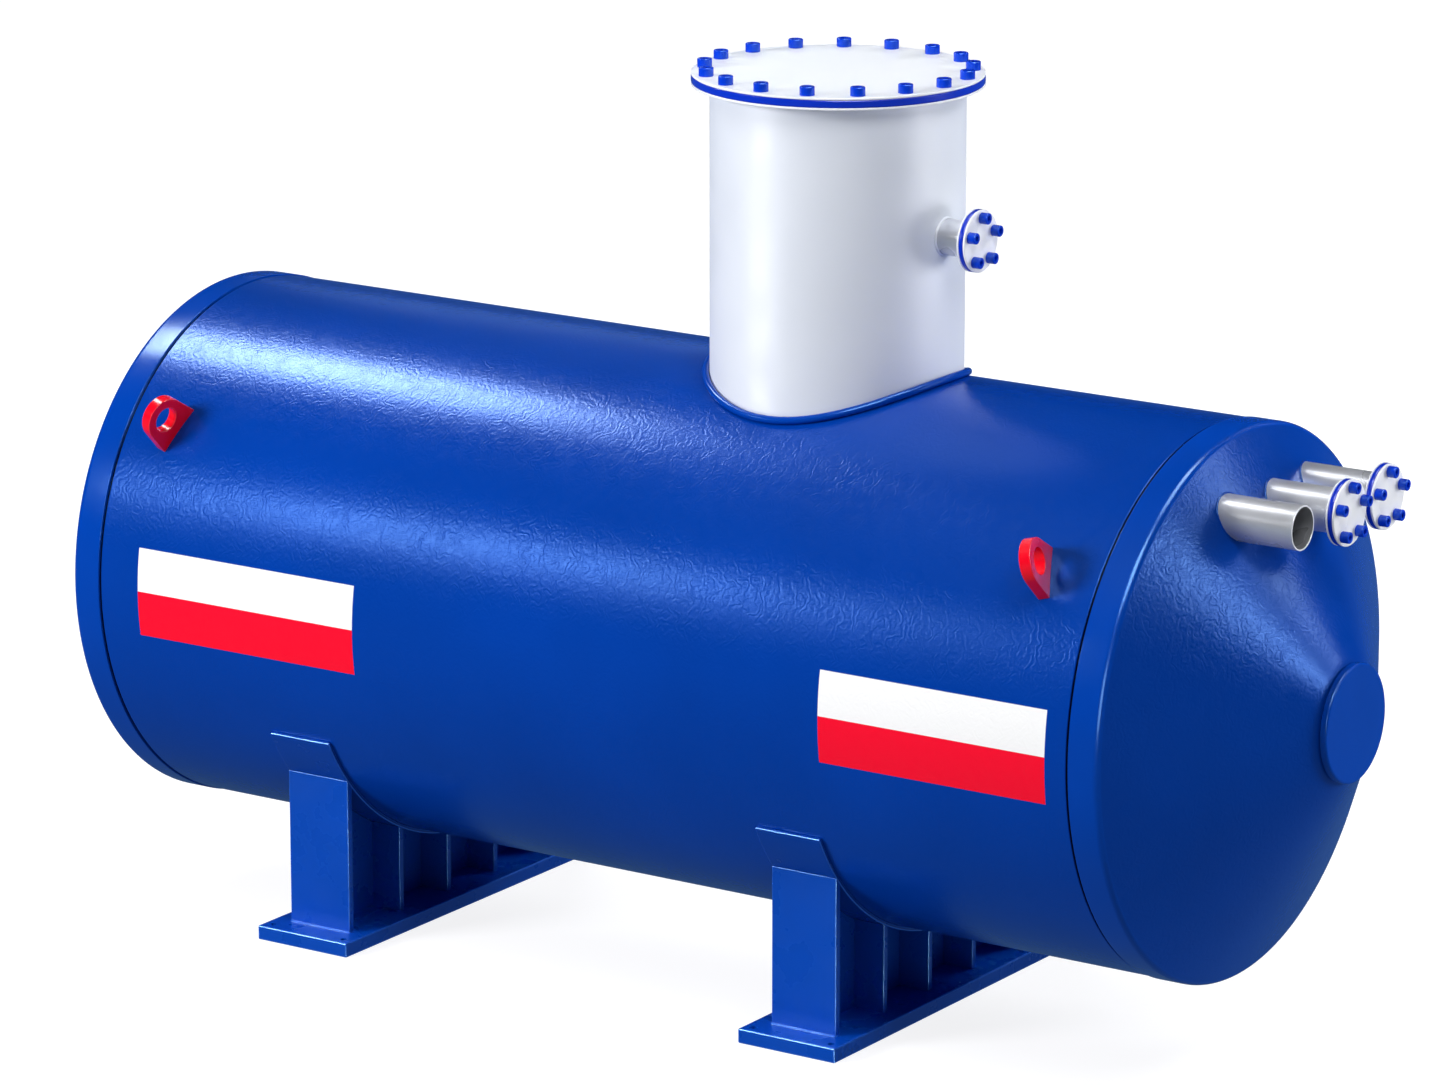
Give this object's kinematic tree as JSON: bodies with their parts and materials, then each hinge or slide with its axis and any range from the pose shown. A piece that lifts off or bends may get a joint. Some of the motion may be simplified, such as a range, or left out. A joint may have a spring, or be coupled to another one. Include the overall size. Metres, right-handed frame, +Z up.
{
  "type": "horizontal pressure tank",
  "caption": "Horizontal blue pressure tank with cone ends, a bolted white access neck, flanged branch pipes, red lifting lugs and welded saddles.",
  "frame": {"origin": "on the floor, in the middle of the tank's length and width", "axes": "+X along the tank towards the end with the branch pipes, +Z up, -Y towards the side seen first"},
  "size_m": [5.355, 2.0078, 3.403],
  "materials": {
    "barrel_blue": "gloss enamel with a fine leathery orange-peel skin",
    "end_blue": "gloss enamel with a fine leathery orange-peel skin",
    "smooth_blue": "smooth gloss enamel",
    "neck_white": "satin white enamel",
    "cover_white": "gloss white enamel",
    "flange_white": "satin white enamel",
    "pipe_silver": "satin silver",
    "gasket_blue": "smooth gloss",
    "bolt_blue": "smooth gloss enamel",
    "lug_red": "gloss enamel"
  },
  "bodies": {
    "root": {"barrel_shell": "barrel_blue", "left_end_band": "smooth_blue", "right_end_band": "smooth_blue", "left_end_cone": "end_blue", "right_end_cone": "end_blue", "left_end_disc": "smooth_blue", "right_end_disc": "smooth_blue", "neck_shell": "neck_white", "neck_collar_bead": "smooth_blue", "neck_flange": "flange_white", "neck_gasket": "gasket_blue", "neck_cover": "cover_white", "neck_cover_bolts": "bolt_blue", "open_nozzle_pipe": "pipe_silver", "neck_nozzle_pipe": "pipe_silver", "neck_nozzle_flange": "flange_white", "neck_nozzle_gasket": "gasket_blue", "neck_nozzle_blind": "flange_white", "neck_nozzle_bolts": "bolt_blue", "middle_nozzle_pipe": "pipe_silver", "middle_nozzle_flange": "flange_white", "middle_nozzle_gasket": "gasket_blue", "middle_nozzle_blind": "flange_white", "middle_nozzle_bolts": "bolt_blue", "rear_nozzle_pipe": "pipe_silver", "rear_nozzle_flange": "flange_white", "rear_nozzle_gasket": "gasket_blue", "rear_nozzle_blind": "flange_white", "rear_nozzle_bolts": "bolt_blue", "front_left_lifting_lug": "lug_red", "front_right_lifting_lug": "lug_red", "rear_left_lifting_lug": "lug_red", "rear_right_lifting_lug": "lug_red", "left_saddle_base": "smooth_blue", "left_saddle_web": "smooth_blue", "left_saddle_end_plates": "smooth_blue", "left_saddle_ribs": "smooth_blue", "left_saddle_pad": "smooth_blue", "right_saddle_base": "smooth_blue", "right_saddle_web": "smooth_blue", "right_saddle_end_plates": "smooth_blue", "right_saddle_ribs": "smooth_blue", "right_saddle_pad": "smooth_blue"}
  },
  "joints": []
}
